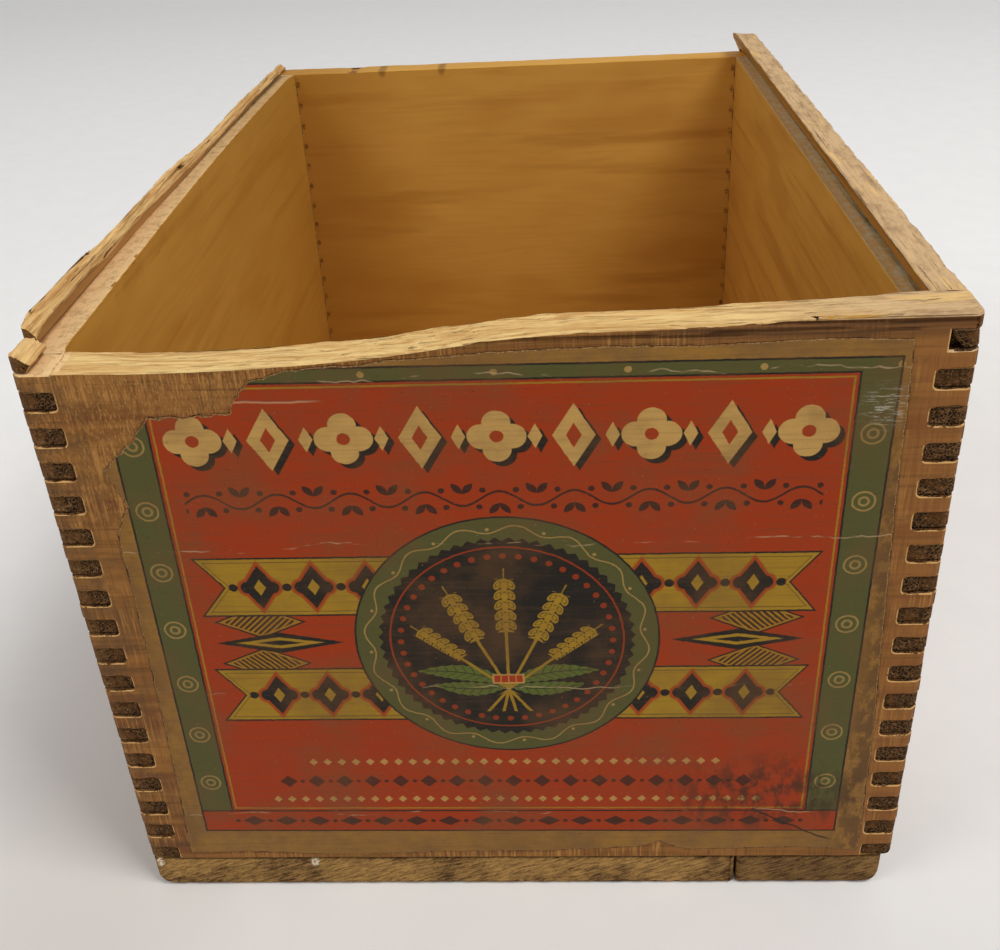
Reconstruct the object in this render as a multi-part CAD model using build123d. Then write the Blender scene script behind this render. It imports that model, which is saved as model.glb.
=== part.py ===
from build123d import *
import os

# Overall sizes in millimetres: 5 5/8 in wide, 7 5/8 in deep, walls 4 1/2 in high on a 5/16 in bottom.
width = 142.875
depth = 193.675
wall_height = 114.3
side_thick = 6.0
end_thick = 7.0
bottom_thick = 7.9375

# Locked corners: an end board's finger and a side board's finger by turns, the end board's on top.
finger_pairs = 18
finger_play = 0.08
corner_wear = 1.6
top_wear = 0.7

# Lid groove, cut under a lip along both side boards. The lid slid in over the low rear board.
groove_pairs = 1
groove_wall = 2.6
lip_edge = 0.6
pocket_depth = 4.7

# The left lip is split off: (share of the lip's length from the front, height left above the groove).
left_lip = [(0, 5.1), (0.03, 6.3), (0.09, 6.3), (0.16, 5.6), (0.41, 4.9), (0.56, 3.8), (0.8, 3.5), (1, 1.6)]
left_groove_wall = 2.1
ridge_out = 1.2
ridge_share = 0.88
split_share = 0.62
block_bevel = 1.7
block_share = 0.28

# The front board's top edge is split off: (distance from the left face, depth below the full height).
front_break = [(6.5, 6.1), (44, 5.7), (59, 4.4), (74, 2.4), (103, 1.35), (117, 0.75), (143, 0)]

# Bottom of two planks that run from front to back under the walls.
plank_joint = 42.2
plank_gap = 0.4
plank_inset_left = 0.4
plank_inset_right = 1.9
plank_round = 3.0
plank_wear = 0.6

# Cut nails, driven up through the planks into the walls.
nail_length = 25.4
nail_thick = 1.3
nail_width = 2.0
nail_tip = 1.0
nail_head_long = 3.2
nail_head_wide = 2.4
nail_head_thick = 0.9
nail_sunk = 0.5
end_nails = 4
end_nail_inset_right = 2.4
end_nail_inset_left = 25.7
side_nails = 5
side_nail_inset = 12.8
side_nail_from_face = 1.4

# Paper label, pasted on the front board: its edge from the torn upper left corner, clockwise. The torn
# corner and the left edge are measured from the left face, the right edge from the right face.
label_thick = 0.2
label_torn = [(11, 98.6), (13.6, 101.3), (16.2, 104.2), (19.4, 107.9), (25.6, 108), (31.8, 108.2)]
label_torn += [(33.9, 111.5), (35.8, 113.8), (41.4, 115.4), (49, 116)]
label_top = [(-12, 116.8), (2, 117.7), (17, 118.1), (31, 117.8), (50, 118.4)]
label_right = [(9.8, 117.9), (9.4, 104.4), (9.2, 90), (8.5, 70.3), (7.2, 38.8), (6.8, 9.9)]
label_bottom = [(54, 10.9), (32, 10.4), (27.6, 12.7), (23.9, 11.2), (7, 10.2), (-12.4, 10), (-32, 9.2)]
label_left = [(19.9, 10.3), (8.6, 9.8), (9.3, 27), (10, 49.8), (10.4, 72.6), (10.4, 86.5), (13, 92)]

# Sizes that follow from those above.
finger = wall_height / (2 * finger_pairs)
top_z = bottom_thick + wall_height
groove_height = 2 * groove_pairs * finger
ledge_z = top_z - groove_height
half_w = width / 2
half_d = depth / 2
inner_w = half_w - side_thick
front_inner_y = -half_d + end_thick
rear_inner_y = half_d - end_thick
groove_x = half_w - groove_wall
left_groove_x = half_w - left_groove_wall
undercut_slope = (groove_x - inner_w) / (groove_height - lip_edge)


def block(x0, x1, y0, y1, z0, z1):
    """A straight block between two corners."""
    return Pos((x0 + x1) / 2, (y0 + y1) / 2, (z0 + z1) / 2) * Box(x1 - x0, y1 - y0, z1 - z0)


def outline(points, y=0.0):
    """A flat face in an upright plane across the box, from (x, z) points."""
    return make_face(Polyline([(x, y, z) for x, z in points], close=True))


def prism(points, y0, y1):
    """A bar of one section between two places along the box."""
    return extrude(outline(points, y0), amount=y1 - y0, dir=(0, 1, 0))


def worn_envelope():
    """The outer form of the walls, worn round at the upright corners and along the top edges."""
    body = extrude(Pos(0, 0, bottom_thick) * RectangleRounded(width, depth, corner_wear), amount=wall_height)
    return chamfer(body.faces().sort_by(Axis.Z)[-1].edges(), top_wear)


def finger_span(index):
    """Lower and upper level of one finger, counted down from the top of the wall."""
    upper = top_z - index * finger
    return upper - finger, upper


def rows(odd, low_board):
    """Every second finger from the top of a wall, or from the top of the low rear board."""
    return range(2 * groove_pairs * low_board + odd, 2 * finger_pairs, 2)


def end_board_notches(low_board, y0, y1, pocket):
    """Openings in an end board for the side boards' fingers, one below the other."""
    cuts = []
    for index in rows(1, low_board):
        low, high = finger_span(index)
        low = low - finger_play / 2 if index < 2 * finger_pairs - 1 else low - finger
        high = high + finger_play / 2
        reach = pocket if index == 1 else side_thick
        cuts.append(block(half_w - reach, half_w + finger, y0 - finger, y1 + finger, low, high))
        cuts.append(block(-half_w - finger, -inner_w, y0 - finger, y1 + finger, low, high))
    return cuts


def side_board_notches(low_board, y0, y1):
    """Openings in a side board for one end board's fingers."""
    cuts = []
    for index in rows(0, low_board):
        low, high = finger_span(index)
        high = high + finger_play / 2 if index else high + finger
        cuts.append(block(inner_w - finger, half_w + finger, y0, y1, low - finger_play / 2, high))
    return cuts


def groove_face(height):
    """Distance of the groove's slanting wall from the middle of the box, at a height in the groove."""
    return groove_x - undercut_slope * height


def side_board():
    """A right side board: the wall with its grooved lip, notched for both end boards."""
    section = [(half_w, bottom_thick), (half_w, top_z), (inner_w, top_z), (inner_w, top_z - lip_edge)]
    section += [(groove_x, ledge_z), (inner_w, ledge_z), (inner_w, bottom_thick)]
    board = prism(section, -half_d, half_d)
    front = side_board_notches(False, -half_d - finger, front_inner_y)
    rear = side_board_notches(True, rear_inner_y, half_d + finger)
    return board - front - rear


def lip_split():
    """What is missing above the right lip if it has split off, as a body to cut away."""
    stations = []
    for share, height in left_lip:
        y = front_inner_y + share * (half_d + finger - front_inner_y)
        section = [(half_w + finger, ledge_z + height), (half_w, ledge_z + height)]
        section += [(half_w - ridge_out, ledge_z + ridge_share * height)]
        section += [(left_groove_x, ledge_z + split_share * height), (left_groove_x, ledge_z)]
        section += [(inner_w - finger, ledge_z), (inner_w - finger, top_z + finger)]
        section += [(half_w + finger, top_z + finger)]
        stations.append(outline(section, y))
    return loft(stations, ruled=True)


def left_side_board():
    """The left side board: the lip split off along its length, and a bare block at the front corner."""
    high = finger_span(1)[1]
    split = block_share * groove_height
    bevel = [(half_w - block_bevel, high), (groove_face(split), ledge_z + split), (inner_w, ledge_z + split)]
    bevel += [(inner_w, high)]
    board = side_board() - lip_split() - prism(bevel, -half_d - finger, front_inner_y)
    return mirror(board, Plane.YZ)


def front_end_board():
    """The labelled end board, with its top edge split away towards the left."""
    board = block(-half_w, half_w, -half_d, front_inner_y, bottom_thick, top_z)
    board = board - end_board_notches(False, -half_d, front_inner_y, pocket_depth)
    edge = [(-half_w + along, top_z - drop) for along, drop in front_break]
    curve = Spline([(x, -half_d, z) for x, z in edge])
    rest = [edge[-1], (edge[-1][0], top_z + finger), (-half_w - finger, top_z + finger)]
    rest += [(-half_w - finger, ledge_z), (-inner_w, ledge_z), edge[0]]
    missing = make_face([curve, Polyline([(x, -half_d, z) for x, z in rest])])
    return board - extrude(missing, amount=end_thick, dir=(0, 1, 0))


def rear_end_board():
    """The low rear end board, which the lid passed over."""
    board = block(-half_w, half_w, rear_inner_y, half_d, bottom_thick, ledge_z)
    return board - end_board_notches(True, rear_inner_y, half_d, side_thick)


def bottom_plank(x0, x1, round_x):
    """A bottom plank, rounded along its outer lower edge and softly worn along the others."""
    plank = block(x0, x1, -half_d, half_d, 0, bottom_thick)
    lower = plank.edges().filter_by(Axis.Y).group_by(Axis.Z)[0]
    plank = fillet([edge for edge in lower if abs(edge.center().X - round_x) < plank_gap], plank_round)
    ends = plank.faces().filter_by(Axis.Y)
    return chamfer([edge for face in ends for edge in face.edges()], plank_wear)


def cut_nail():
    """A cut nail, head down, tapered along its length in one direction only."""
    head_z = nail_sunk + nail_head_thick
    tip_z = nail_sunk + nail_length
    shank = [(-nail_width / 2, head_z), (nail_width / 2, head_z)]
    shank += [(nail_tip / 2, tip_z), (-nail_tip / 2, tip_z)]
    head = Pos(0, 0, nail_sunk + nail_head_thick / 2) * Box(nail_head_long, nail_head_wide, nail_head_thick)
    return head + prism(shank, -nail_thick / 2, nail_thick / 2)


def nail_places():
    """Where each nail stands: on the middle of the end boards, and near the inner face of the sides."""
    places = []
    right_x = inner_w - end_nail_inset_right
    end_pitch = (2 * inner_w - end_nail_inset_right - end_nail_inset_left) / (end_nails - 1)
    for y in (-half_d + end_thick / 2, half_d - end_thick / 2):
        places += [Pos(right_x - end_pitch * turn, y, 0) for turn in range(end_nails)]
    first_y = front_inner_y + side_nail_inset
    side_pitch = (rear_inner_y - side_nail_inset - first_y) / (side_nails - 1)
    for x in (-inner_w - side_nail_from_face, inner_w + side_nail_from_face):
        places += [Pos(x, first_y + side_pitch * turn, 0) * Rot(0, 0, 90) for turn in range(side_nails)]
    return places


def front_label():
    """The paper label, with its torn corner."""
    torn = [(x - half_w, z) for x, z in label_torn]
    right = [(half_w - x, z) for x, z in label_right]
    left = [(x - half_w, z) for x, z in label_left]
    edge = torn + label_top + right + label_bottom + left
    return extrude(outline(edge, -half_d), amount=label_thick, dir=(0, -1, 0))


def main():
    envelope = worn_envelope()
    places = nail_places()
    nails = [place * cut_nail() for place in places]
    recess = Pos(0, 0, nail_sunk / 2) * Box(nail_head_long, nail_head_wide, nail_sunk)
    driven = nails + [place * recess for place in places]
    wide_ends = (-half_w + plank_inset_left, plank_joint - plank_gap / 2)
    narrow_ends = (plank_joint + plank_gap / 2, half_w - plank_inset_right)

    parts = {
        "front_end_board": (front_end_board() & envelope) - driven,
        "rear_end_board": (rear_end_board() & envelope) - driven,
        "left_side_board": (left_side_board() & envelope) - driven,
        "right_side_board": (side_board() & envelope) - driven,
        "bottom_plank_wide": bottom_plank(*wide_ends, wide_ends[0]) - driven,
        "bottom_plank_narrow": bottom_plank(*narrow_ends, narrow_ends[1]) - driven,
        "bottom_nails": Compound([nail.solid() for nail in nails]),
        "front_label": front_label(),
    }
    os.makedirs("parts", exist_ok=True)
    for name, part in parts.items():
        export_step(part, f"parts/{name}.step")


main()
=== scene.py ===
"""Dresses the old finger-jointed shop box: worn boards, split edges, a faded paper label and rusty nails."""

import math

import bmesh
import bpy
from mathutils import Matrix, Vector, noise


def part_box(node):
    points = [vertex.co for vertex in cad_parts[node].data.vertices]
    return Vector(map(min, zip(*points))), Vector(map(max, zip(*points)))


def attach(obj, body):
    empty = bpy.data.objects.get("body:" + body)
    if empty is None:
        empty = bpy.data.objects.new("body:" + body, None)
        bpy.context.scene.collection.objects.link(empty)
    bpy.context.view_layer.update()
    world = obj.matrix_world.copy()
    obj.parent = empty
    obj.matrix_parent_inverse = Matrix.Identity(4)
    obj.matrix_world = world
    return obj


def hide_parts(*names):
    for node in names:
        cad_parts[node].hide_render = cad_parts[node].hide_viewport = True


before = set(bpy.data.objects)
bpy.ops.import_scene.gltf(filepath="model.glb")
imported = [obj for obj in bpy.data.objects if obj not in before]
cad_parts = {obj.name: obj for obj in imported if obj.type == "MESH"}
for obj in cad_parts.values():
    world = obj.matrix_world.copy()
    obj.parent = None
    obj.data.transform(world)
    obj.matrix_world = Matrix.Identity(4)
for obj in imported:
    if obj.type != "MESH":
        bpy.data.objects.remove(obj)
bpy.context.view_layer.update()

bl_info = {
    "name": "Old Shop Box",
    "version": (1, 0, 0),
    "blender": (4, 5, 0),
    "location": "View3D > Sidebar > Old Box",
    "description": "Finishes an old finger-jointed wooden box with a worn paper label",
    "category": "Object",
}

MM = 0.001
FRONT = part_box("front_end_board")
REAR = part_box("rear_end_board")
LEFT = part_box("left_side_board")
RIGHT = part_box("right_side_board")
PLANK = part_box("bottom_plank_wide")
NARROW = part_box("bottom_plank_narrow")
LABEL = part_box("front_label")

TOP_Z = RIGHT[1].z
WALL_Z = RIGHT[0].z
LEDGE_Z = REAR[1].z
HALF_W = RIGHT[1].x
HALF_D = REAR[1].y
INNER_W = RIGHT[0].x
FRONT_Y = FRONT[0].y
FRONT_IN_Y = FRONT[1].y
REAR_IN_Y = REAR[0].y
FINGER = (TOP_Z - LEDGE_Z) / 2
POCKET_ROUND = 0.8 * MM


def grey(level):
    """A neutral colour, as red, green, blue and alpha."""
    return (level, level, level, 1.0)


def colour(name, description, default):
    """A colour that a user may change."""
    return bpy.props.FloatVectorProperty(
        name=name, description=description, subtype="COLOR", size=4, min=0, max=1, default=default
    )


def distance(name, description, default):
    """A length that a user may change, in metres."""
    return bpy.props.FloatProperty(
        name=name, description=description, unit="LENGTH", precision=5, min=0, default=default
    )


class WoodSettings(bpy.types.PropertyGroup):
    """Colours and wear of the boards."""

    outside_light: colour("Outside light", "Outer faces, lighter grain", (0.325, 0.138, 0.033, 1))
    outside_dark: colour("Outside dark", "Outer faces, darker grain", (0.115, 0.042, 0.009, 1))
    inside_light: colour("Inside light", "Inner faces, lighter grain", (0.70, 0.38, 0.075, 1))
    inside_dark: colour("Inside dark", "Inner faces, darker grain", (0.50, 0.235, 0.034, 1))
    raw_light: colour("Raw light", "Fresh splits, lighter fibres", (0.86, 0.60, 0.25, 1))
    raw_dark: colour("Raw dark", "Fresh splits, darker fibres", (0.52, 0.27, 0.085, 1))
    end_light: colour("End grain light", "Cut ends of the fingers, lighter", (0.23, 0.11, 0.038, 1))
    end_dark: colour("End grain dark", "Cut ends of the fingers, pores and dirt", (0.014, 0.008, 0.005, 1))
    plank_light: colour("Plank light", "Bottom planks, lighter grain", (0.50, 0.28, 0.085, 1))
    plank_dark: colour("Plank dark", "Bottom planks, darker grain", (0.075, 0.034, 0.013, 1))
    dust: colour("Dust", "Dust in the lid grooves", (0.82, 0.55, 0.27, 1))
    edge_round: distance("Edge wear", "How far the sharp edges have worn round", 0.32 * MM)


class LabelSettings(bpy.types.PropertyGroup):
    """Inks and paper of the label."""

    paper: colour("Paper", "Aged paper of the margin", (0.305, 0.145, 0.026, 1))
    red: colour("Red", "Ink of the field", (0.335, 0.036, 0.004, 1))
    green: colour("Green", "Ink of the frame", (0.085, 0.083, 0.022, 1))
    yellow: colour("Yellow", "Ink of the ribbons", (0.35, 0.195, 0.014, 1))
    cream: colour("Cream", "Unprinted paper inside the print", (0.52, 0.30, 0.085, 1))
    black: colour("Black", "Ink of the outlines", (0.016, 0.0125, 0.009, 1))
    leaf: colour("Leaf", "Ink of the leaves", (0.10, 0.125, 0.022, 1))


class StageSettings(bpy.types.PropertyGroup):
    """Floor, light and camera."""

    floor: colour("Floor", "Plain floor and backdrop", (0.80, 0.785, 0.76, 1))
    key_power: bpy.props.FloatProperty(
        name="Key light", description="Power of the large lamp overhead", unit="POWER", default=9
    )
    sky: bpy.props.FloatProperty(name="Sky", description="Strength of the even light all round", default=0.5)


class BoxSettings(bpy.types.PropertyGroup):
    """All settings of the box."""

    wood: bpy.props.PointerProperty(type=WoodSettings)
    label: bpy.props.PointerProperty(type=LabelSettings)
    stage: bpy.props.PointerProperty(type=StageSettings)


class Wire:
    """A value in a material. Sums, products and the functions below add Math nodes."""

    def __init__(self, paint, socket):
        self.paint = paint
        self.socket = socket

    def math(self, operation, *others, clamp=False):
        settings = {"operation": operation, "use_clamp": clamp}
        return self.paint.node("ShaderNodeMath", settings, [self, *others])["Value"]

    def __add__(self, other):
        return self.math("ADD", other)

    def __sub__(self, other):
        return self.math("SUBTRACT", other)

    def __mul__(self, other):
        return self.math("MULTIPLY", other)

    def __truediv__(self, other):
        return self.math("DIVIDE", other)

    def __neg__(self):
        return self.math("MULTIPLY", -1.0)

    def __rsub__(self, other):
        return self.paint.node("ShaderNodeMath", {"operation": "SUBTRACT"}, [other, self])["Value"]

    def __rtruediv__(self, other):
        return self.paint.node("ShaderNodeMath", {"operation": "DIVIDE"}, [other, self])["Value"]

    __radd__ = __add__
    __rmul__ = __mul__

    def abs(self):
        return self.math("ABSOLUTE")

    def sqrt(self):
        return self.math("SQRT")

    def sin(self):
        return self.math("SINE")

    def cos(self):
        return self.math("COSINE")

    def floor(self):
        return self.math("FLOOR")

    def power(self, exponent):
        return self.math("POWER", exponent)

    def min(self, other):
        return self.math("MINIMUM", other)

    def max(self, other):
        return self.math("MAXIMUM", other)

    def wave(self, period):
        """Distance from the nearest whole multiple of a period, with its sign."""
        return self.math("WRAP", period / 2, -period / 2)

    def clamp(self):
        return self.math("ADD", 0.0, clamp=True)

    def ramp(self, low, high):
        """0 below low and 1 above high, or the other way round where low is the larger, smooth between."""
        values = {"Value": self, "From Min": low, "From Max": high}
        return self.paint.node("ShaderNodeMapRange", {"interpolation_type": "SMOOTHSTEP"}, values)["Result"]


class Paint:
    """A material under construction."""

    def __init__(self, name):
        self.material = bpy.data.materials.new(name)
        self.material.use_nodes = True
        self.tree = self.material.node_tree
        self.tree.nodes.clear()

    def node(self, kind, settings=None, inputs=()):
        """Adds a node: its settings first, then values or wires by socket name or in order."""
        made = self.tree.nodes.new(kind)
        for key, value in (settings or {}).items():
            setattr(made, key, value)
        pairs = inputs.items() if isinstance(inputs, dict) else enumerate(inputs)
        for key, value in pairs:
            if isinstance(value, Wire):
                self.tree.links.new(value.socket, made.inputs[key])
            else:
                made.inputs[key].default_value = value
        return {socket.name: Wire(self, socket) for socket in reversed(made.outputs) if socket.enabled}

    def place(self):
        """The point on the piece in millimetres: its vector and its three parts."""
        point = self.node("ShaderNodeTexCoord")["Object"]
        scaled = self.node("ShaderNodeVectorMath", {"operation": "SCALE"}, {"Vector": point, "Scale": 1 / MM})
        vector = scaled["Vector"]
        parts = self.node("ShaderNodeSeparateXYZ", None, [vector])
        return vector, parts["X"], parts["Y"], parts["Z"]

    def stretch(self, vector, scale, offset=(0, 0, 0)):
        """A vector scaled by axis and moved, for patterns that run with the grain."""
        values = {"Vector": vector, "Scale": scale, "Location": offset}
        return self.node("ShaderNodeMapping", {"vector_type": "POINT"}, values)["Vector"]

    def noise(self, vector, scale=1.0, detail=3.0, rough=0.55, twist=0.0):
        """Cloudy noise from 0 to 1. The scale is in features per millimetre."""
        values = {"Vector": vector, "Scale": scale, "Detail": detail, "Roughness": rough, "Distortion": twist}
        return self.node("ShaderNodeTexNoise", {"noise_dimensions": "3D"}, values)["Fac"]

    def cells(self, vector, scale, feature="F1"):
        """Distance to the nearest of scattered points."""
        settings = {"voronoi_dimensions": "3D", "feature": feature}
        return self.node("ShaderNodeTexVoronoi", settings, {"Vector": vector, "Scale": scale})["Distance"]

    def mix(self, factor, first, second, blend="MIX"):
        """A colour between two colours."""
        made = self.tree.nodes.new("ShaderNodeMix")
        made.data_type, made.blend_type = "RGBA", blend
        for socket, value in zip((made.inputs[0], made.inputs[6], made.inputs[7]), (factor, first, second)):
            if isinstance(value, Wire):
                self.tree.links.new(value.socket, socket)
            else:
                socket.default_value = value
        return Wire(self, made.outputs[2])

    def finish(self, base, roughness, height, depth, **constants):
        """Closes the material: colour, roughness and a bump of the given depth in metres."""
        bump = self.node("ShaderNodeBump", None, {"Strength": 1.0, "Distance": depth, "Height": height})
        values = {"Base Color": base, "Roughness": roughness, "Normal": bump["Normal"]}
        values["Specular IOR Level"] = 0.12
        values.update(constants)
        surface = self.node("ShaderNodeBsdfPrincipled", None, values)["BSDF"]
        self.node("ShaderNodeOutputMaterial", None, {"Surface": surface})
        return self.material


def rgba(values):
    """A plain tuple from a colour setting."""
    return tuple(values)


def along_grain(axis, fine, coarse):
    """Scales that squeeze a pattern across the grain and draw it out along it."""
    scale = [fine, fine, fine]
    scale["XYZ".index(axis)] = coarse
    return tuple(scale)


def grain_lines(paint, vector, axis, seed):
    """The lines of a sawn board: broad growth bands, fine fibres and slow changes of tone."""
    shift = (seed * 7.3, seed * 3.1, seed * 5.7)
    bands = paint.noise(paint.stretch(vector, along_grain(axis, 0.16, 0.012), shift), 1.0, 2.0, 0.5, 0.6)
    rings = ((bands * 34.0).sin() * 0.5 + 0.5).power(1.6)
    fibres = paint.noise(paint.stretch(vector, along_grain(axis, 2.6, 0.11), shift), 1.0, 3.0, 0.65)
    tone = paint.noise(paint.stretch(vector, along_grain(axis, 0.05, 0.018), shift), 1.0, 3.0, 0.6)
    return rings, fibres, tone


def outside_wood(settings, axis, seed):
    """Aged outer faces: golden brown, greasy with handling, with fine saw ribs across the grain, and painted shade
    under the split top edge of the front board.
    """
    paint = Paint("outside_wood_" + axis.lower())
    vector, x, y, z = paint.place()
    rings, fibres, tone = grain_lines(paint, vector, axis, seed)
    ribs = paint.noise(paint.stretch(vector, along_grain(axis, 0.09, 2.2), (1.7, 2.9, 0.4)), 1.0, 2.0, 0.7)
    patches = paint.noise(paint.stretch(vector, along_grain(axis, 0.14, 0.05), (4, 1, 8)), 1.0, 3.0, 0.6)
    streaks = paint.noise(paint.stretch(vector, along_grain(axis, 1.5, 0.035), (2, 6, 1)), 1.0, 4.0, 0.7)
    bands = paint.noise(paint.stretch(vector, along_grain(axis, 0.24, 0.006), (9, 4, 1)), 1.0, 2.0, 0.5)
    blots = paint.noise(vector, 0.24, 4.0, 0.7)
    shade = (rings * 0.3 + fibres * 0.45 + tone * 0.7 - 0.42).clamp()
    base = paint.mix(shade, rgba(settings.outside_light), rgba(settings.outside_dark))
    base = paint.mix(bands.ramp(0.52, 0.64) * 0.6, base, (0.16, 0.047, 0.014, 1))
    base = paint.mix(streaks.ramp(0.55, 0.68) * 0.55, base, (0.09, 0.04, 0.014, 1))
    plain = y.ramp(-90, -80) if axis == "X" else 1.0
    sawn = (0.6 - plain * 0.4) * patches.ramp(0.42, 0.6)
    base = paint.mix(ribs.ramp(0.5, 0.64) * sawn, base, (0.52, 0.25, 0.065, 1))
    base = paint.mix(ribs.ramp(0.47, 0.34) * (0.4 - plain * 0.25), base, (0.085, 0.036, 0.012, 1))
    base = paint.mix(blots.ramp(0.58, 0.76) * 0.5, base, (0.06, 0.034, 0.018, 1))
    if axis == "X":
        fuzz = paint.noise(paint.stretch(vector, (3.2, 1, 0.8), (3, 8, 2)), 1.0, 4.0, 0.8)
        torn = x.ramp(-8, -30) * z.ramp(80, 98) * fuzz.ramp(0.5, 0.62)
        base = paint.mix(torn * 0.5, base, (0.56, 0.28, 0.08, 1))
        # Painted shade: the split layers under the top edge are darkened in their recesses.
        layers = paint.noise(paint.stretch(vector, (0.035, 1, 2.1), (4, 0, 6)), 1.0, 3.0, 0.6)
        split = layers.ramp(0.46, 0.58) * z.ramp(118.5, 119.1) * x.ramp(-22, 0)
        base = paint.mix(split * 0.8, base, (0.075, 0.032, 0.012, 1))
        base = paint.mix(x.ramp(-58, -67) * blots.ramp(0.4, 0.6) * 0.5, base, (0.11, 0.058, 0.026, 1))
        base = paint.mix(x.ramp(60, 66) * 0.4, base, (0.30, 0.115, 0.03, 1))
        # Painted shade: a darker band under the top edge at the right.
        shade = x.ramp(10, 40) * (z + tone * 2).ramp(118.6, 119.8)
        base = paint.mix(shade * 0.5, base, (0.11, 0.047, 0.017, 1))
    height = fibres * 0.35 + ribs * 0.8 + rings * 0.2 - streaks.ramp(0.55, 0.68) * 0.3
    return paint.finish(base, 0.6, height, 0.13 * MM)


def inside_wood(settings, axis, seed):
    """Clean inner faces: honey pine, with painted shade towards the bottom, on the left side stronger towards the
    rear, and in the rear wall's corners.
    """
    paint = Paint("inside_wood_" + axis.lower())
    vector, x, y, z = paint.place()
    rings, fibres, tone = grain_lines(paint, vector, axis, seed)
    shade = (rings * 0.12 + fibres * 0.12 + tone * 1.1 - 0.3).clamp()
    base = paint.mix(shade, rgba(settings.inside_light), rgba(settings.inside_dark))
    # Painted shade, darker towards the bottom of the box.
    base = paint.mix((z / (LEDGE_Z / MM)).ramp(0.95, 0.2) * 0.2, base, (0.46, 0.22, 0.035, 1))
    fine, wide = (0.3, 0.09) if axis == "Y" else (0.12, 0.05)
    streaks = paint.noise(paint.stretch(vector, along_grain(axis, fine, 0.012), (5, 2, 7)), 1.0, 3.0, 0.6)
    clouds = paint.noise(paint.stretch(vector, along_grain(axis, wide, 0.02), (2, 7, 3)), 1.0, 2.0, 0.5)
    base = paint.mix(streaks.ramp(0.52, 0.7) * 0.5, base, (0.40, 0.17, 0.025, 1))
    base = paint.mix(clouds.ramp(0.5, 0.68) * 0.35, base, (0.44, 0.17, 0.025, 1))
    if axis == "Y":
        lip = z.ramp(LEDGE_Z / MM, LEDGE_Z / MM + 0.6) * x.ramp(1, -1)
        base = paint.mix(lip * 0.75, base, (0.56, 0.33, 0.14, 1))
        # Painted shade on the left side, the left wall and the left half of the floor, stronger towards the rear.
        left = x.ramp(1, -1) * (1 - lip) * (y.ramp(-40, 85) * 0.3 + 0.3)
        base = paint.mix(left, base, (0.40, 0.19, 0.025, 1))
    else:
        # Painted shade: wedges of shadow in the rear wall's corners.
        corner = x.ramp(-25, -64) * 0.6 + x.ramp(48, 64) * z.ramp(100, 30) * 0.35
        base = paint.mix(corner * y.ramp(0, 1), base, (0.36, 0.15, 0.018, 1))
        seam = x.abs() - INNER_W / MM + 0.7
        gaps = hypot(seam * 1.3, (z - (LEDGE_Z + FINGER) / MM).wave(2 * FINGER / MM) * 0.75)
        base = paint.mix(gaps.ramp(1.0, 0.4) * y.ramp(0, 1) * fibres.ramp(0.3, 0.6) * 0.8, base, (0.10, 0.034, 0.008, 1))
        knots = hypot((x + 30.2).abs() - 8.9, (z - LEDGE_Z / MM) * 0.6)
        base = paint.mix(knots.ramp(1.6, 0.5) * y.ramp(0, 1) * 0.55, base, (0.14, 0.052, 0.012, 1))
    height = fibres * 0.5 + rings * 0.15
    return paint.finish(base, 0.5, height, 0.05 * MM)


def raw_wood(settings, axis, seed):
    """Split wood: pale torn fibres that run with the grain, browned and cracked in places."""
    paint = Paint("raw_wood_" + axis.lower())
    vector, x, y, z = paint.place()
    strands = paint.noise(paint.stretch(vector, along_grain(axis, 1.5, 0.06), (seed, 0, 0)), 1.0, 4.0, 0.7)
    fibres = paint.noise(paint.stretch(vector, along_grain(axis, 4.2, 0.16), (0, seed, 0)), 1.0, 2.0, 0.6)
    tone = paint.noise(paint.stretch(vector, along_grain(axis, 0.3, 0.05), (0, 0, seed)), 1.0, 3.0, 0.6)
    cracks = paint.noise(paint.stretch(vector, along_grain(axis, 2.4, 0.045), (0, seed, 5)), 1.0, 3.0, 0.6)
    shade = (strands.ramp(0.42, 0.66) * 0.85 + fibres.ramp(0.5, 0.8) * 0.45).clamp()
    light = rgba(settings.raw_light) if axis == "X" else (0.86, 0.56, 0.23, 1)
    dark = rgba(settings.raw_dark) if axis == "X" else (0.46, 0.22, 0.065, 1)
    base = paint.mix(shade, light, dark)
    base = paint.mix(tone.ramp(0.45, 0.68) * 0.4, base, (0.56, 0.26, 0.07, 1))
    crumbs = paint.noise(paint.stretch(vector, along_grain(axis, 0.42, 0.16)), 1.0, 6.0, 0.72)
    soiled = x.ramp(30, 66) if axis == "X" else x.ramp(-1, 1)
    handled = paint.mix(crumbs.ramp(0.42, 0.72), (0.66, 0.44, 0.235, 1), (0.32, 0.20, 0.12, 1))
    handled = paint.mix(strands.ramp(0.5, 0.72) * 0.5, handled, (0.36, 0.20, 0.09, 1))
    handled = paint.mix(tone.ramp(0.56, 0.66) * 0.7, handled, (0.88, 0.58, 0.22, 1))
    base = paint.mix(soiled * 0.85, base, handled)
    base = paint.mix(cracks.ramp(0.63, 0.69) * 0.6, base, (0.13, 0.055, 0.018, 1))
    height = strands * 0.8 + fibres * 0.4 + crumbs * soiled * 0.2 - cracks.ramp(0.63, 0.69) * 0.5
    return paint.finish(base, 0.7, height, 0.42 * MM)


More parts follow.
